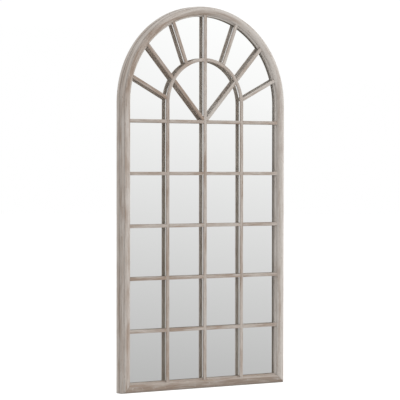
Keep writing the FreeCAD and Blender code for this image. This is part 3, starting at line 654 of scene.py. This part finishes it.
def make_screws(name, node, body):
    """Screws with rounded heads for a node of plain ones, each turned its own way."""
    low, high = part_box(node)
    tips = set()
    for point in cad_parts[node].data.vertices:
        if point.co.y < low.y + TIP_MARGIN:
            tips.add((round(point.co.x, PLACE_DIGITS), round(point.co.z, PLACE_DIGITS)))
    shape = bmesh.new()
    for index, (x, z) in enumerate(sorted(tips)):
        screw = bmesh.new()
        make_screw(screw)
        turn = Matrix.Rotation(index * SCREW_TURN, 3, "Y")
        bmesh.ops.rotate(screw, verts=screw.verts, cent=(0, 0, 0), matrix=turn)
        bmesh.ops.translate(screw, verts=screw.verts, vec=(x, high.y, z))
        lone = mesh_from("lone_screw", screw)
        shape.from_mesh(lone)
        bpy.data.meshes.remove(lone)
    for edge in shape.edges:
        edge.smooth = edge.calc_face_angle(0) < SHARP_ANGLE
    for face in shape.faces:
        face.smooth = True
    mesh = mesh_from(name, shape)
    mesh.materials.append(zinc)
    piece = put_in_scene(name, mesh)
    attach(piece, body)
    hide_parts(node)


def make_camera():
    """Camera to the left of the mirror, aimed a little below its own height."""
    level = Vector((sin(VIEW_TURN), cos(VIEW_TURN), 0))
    data = bpy.data.cameras.new("camera")
    data.sensor_width = SENSOR_WIDTH
    data.lens = SENSOR_WIDTH * FOCAL_POINTS / PICTURE_WIDTH
    data.clip_end = SIGHT_END
    camera = put_in_scene("camera", data)
    turn = VIEW_TURN - atan(AIM_LEFT_POINTS / FOCAL_POINTS)
    drop = atan(AIM_DOWN_POINTS / FOCAL_POINTS)
    aim = Vector((sin(turn) * cos(drop), cos(turn) * cos(drop), -sin(drop)))
    roll = Quaternion((0, 0, 1), VIEW_ROLL)
    camera.location = Vector((0, lattice_front, VIEW_HEIGHT)) - level * VIEW_RANGE
    camera.rotation_euler = (aim.to_track_quat("-Z", "Y") @ roll).to_euler()
    bpy.context.scene.camera = camera


def make_key_lamp():
    """One large soft lamp from the right and a little above."""
    middle = (cad_low + cad_high) / 2
    away = Vector((sin(KEY_TURN) * cos(KEY_LIFT), -cos(KEY_TURN) * cos(KEY_LIFT), sin(KEY_LIFT)))
    data = bpy.data.lights.new("key_lamp", "AREA")
    data.shape = "RECTANGLE"
    data.size = KEY_WIDTH
    data.size_y = KEY_HEIGHT
    data.energy = KEY_LEVEL * pi ** 2 * KEY_RANGE ** 2
    lamp = put_in_scene("key_lamp", data)
    lamp.location = middle + away * KEY_RANGE
    lamp.rotation_euler = (-away).to_track_quat("-Z", "Y").to_euler()


def make_floor():
    """Pale floor below the hung mirror: white to the eye, and it keeps the mirror's shadow."""
    shape = bmesh.new()
    bmesh.ops.create_circle(shape, cap_ends=True, segments=FLOOR_STEPS, radius=FLOOR_RADIUS)
    bmesh.ops.translate(shape, verts=shape.verts, vec=(0, 0, cad_low.z - FLOOR_DROP))
    floor = put_in_scene("floor", mesh_from("floor", shape))
    floor.visible_glossy = False
    material, tree, shader = new_material("pale_floor")
    seen = tree.nodes.new("ShaderNodeLightPath").outputs["Is Camera Ray"]
    feed(tree, shader, {"Base Color": (FLOOR_SHADE, FLOOR_SHADE, FLOOR_SHADE, 1),
                        "Roughness": FLOOR_ROUGHNESS,
                        "Emission Color": WHITE,
                        "Emission Strength": times(tree, seen, FLOOR_GLOW)})
    floor.data.materials.append(material)


def make_room():
    """White room: plain fill for the object, white for the eye, and greyer low down in the glass."""
    world = bpy.data.worlds.new("room")
    bpy.context.scene.world = world
    world.use_nodes = True
    tree = world.node_tree
    tree.nodes.clear()
    path = tree.nodes.new("ShaderNodeLightPath").outputs
    sight = axes(tree, tree.nodes.new("ShaderNodeTexCoord").outputs["Generated"])
    upright_shade = plus(tree, remap(tree, sight["Z"], *ROOM_LOW), remap(tree, sight["Z"], *ROOM_HIGH))
    shade = times(tree, upright_shade, remap(tree, sight["X"], *ROOM_SIDE))
    seen_shade = most(tree, shade, path["Is Camera Ray"])
    seen = add_node(tree, "ShaderNodeBackground", {"Color": seen_shade, "Strength": 1.0})
    fill = add_node(tree, "ShaderNodeBackground", {"Color": WHITE, "Strength": FILL_STRENGTH})
    mirrored = most(tree, path["Is Glossy Ray"], path["Is Transmission Ray"])
    clear = most(tree, path["Is Camera Ray"], mirrored)
    both = add_node(tree, "ShaderNodeMixShader", {0: clear, 1: fill.outputs[0], 2: seen.outputs[0]})
    add_node(tree, "ShaderNodeOutputWorld", {"Surface": both.outputs[0]})


whitewash = make_whitewash_group()
arched_run = make_arched_run_group()

# Each straight bar has its own run of the grain, and each bar its own board
straight_runs = {name: (UPRIGHT, wash) for name, wash in BAR_WASH.items()}
straight_runs.update({name: (LEVEL, CROSS_WASH) for name in cross_bars})
for ray in rays:
    low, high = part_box(ray)
    middle = (low + high) / 2
    straight_runs[ray] = (atan2(middle.z - hub_height, middle.x), RAY_WASH[ray.split("_")[0]])
for board, (name, (turn, wash)) in enumerate(sorted(straight_runs.items()), start=1):
    dress(name, straight_bar(name, turn, board, wash))
for board, name in enumerate(("left_fan_ring", "right_fan_ring"), start=len(straight_runs) + 1):
    dress(name, bent_bar(name, ring_centre, ring_radius, board, RING_WASH))

painted_frame = frame_wood()
for name in ("left_stile", "right_stile", *arch_segments):
    dress(name, painted_frame)
dress("bottom_rail", foot_wood())

dress("mirror_glass", mirror_silver())
dress("backing_board", brown_hardboard())
dress("frame_dowels", turned_beech())
zinc = zinc_plate()
for name in ("left_hanger_strap", "right_hanger_strap", "left_hanger_ring", "right_hanger_ring"):
    dress(name, zinc)
make_screws("board_cross_screws", "board_screws", "frame")
make_screws("hanger_cross_screws", "hanger_screws", "frame")

make_camera()
make_key_lamp()
make_floor()
make_room()
bpy.context.scene.view_settings.view_transform = "Standard"
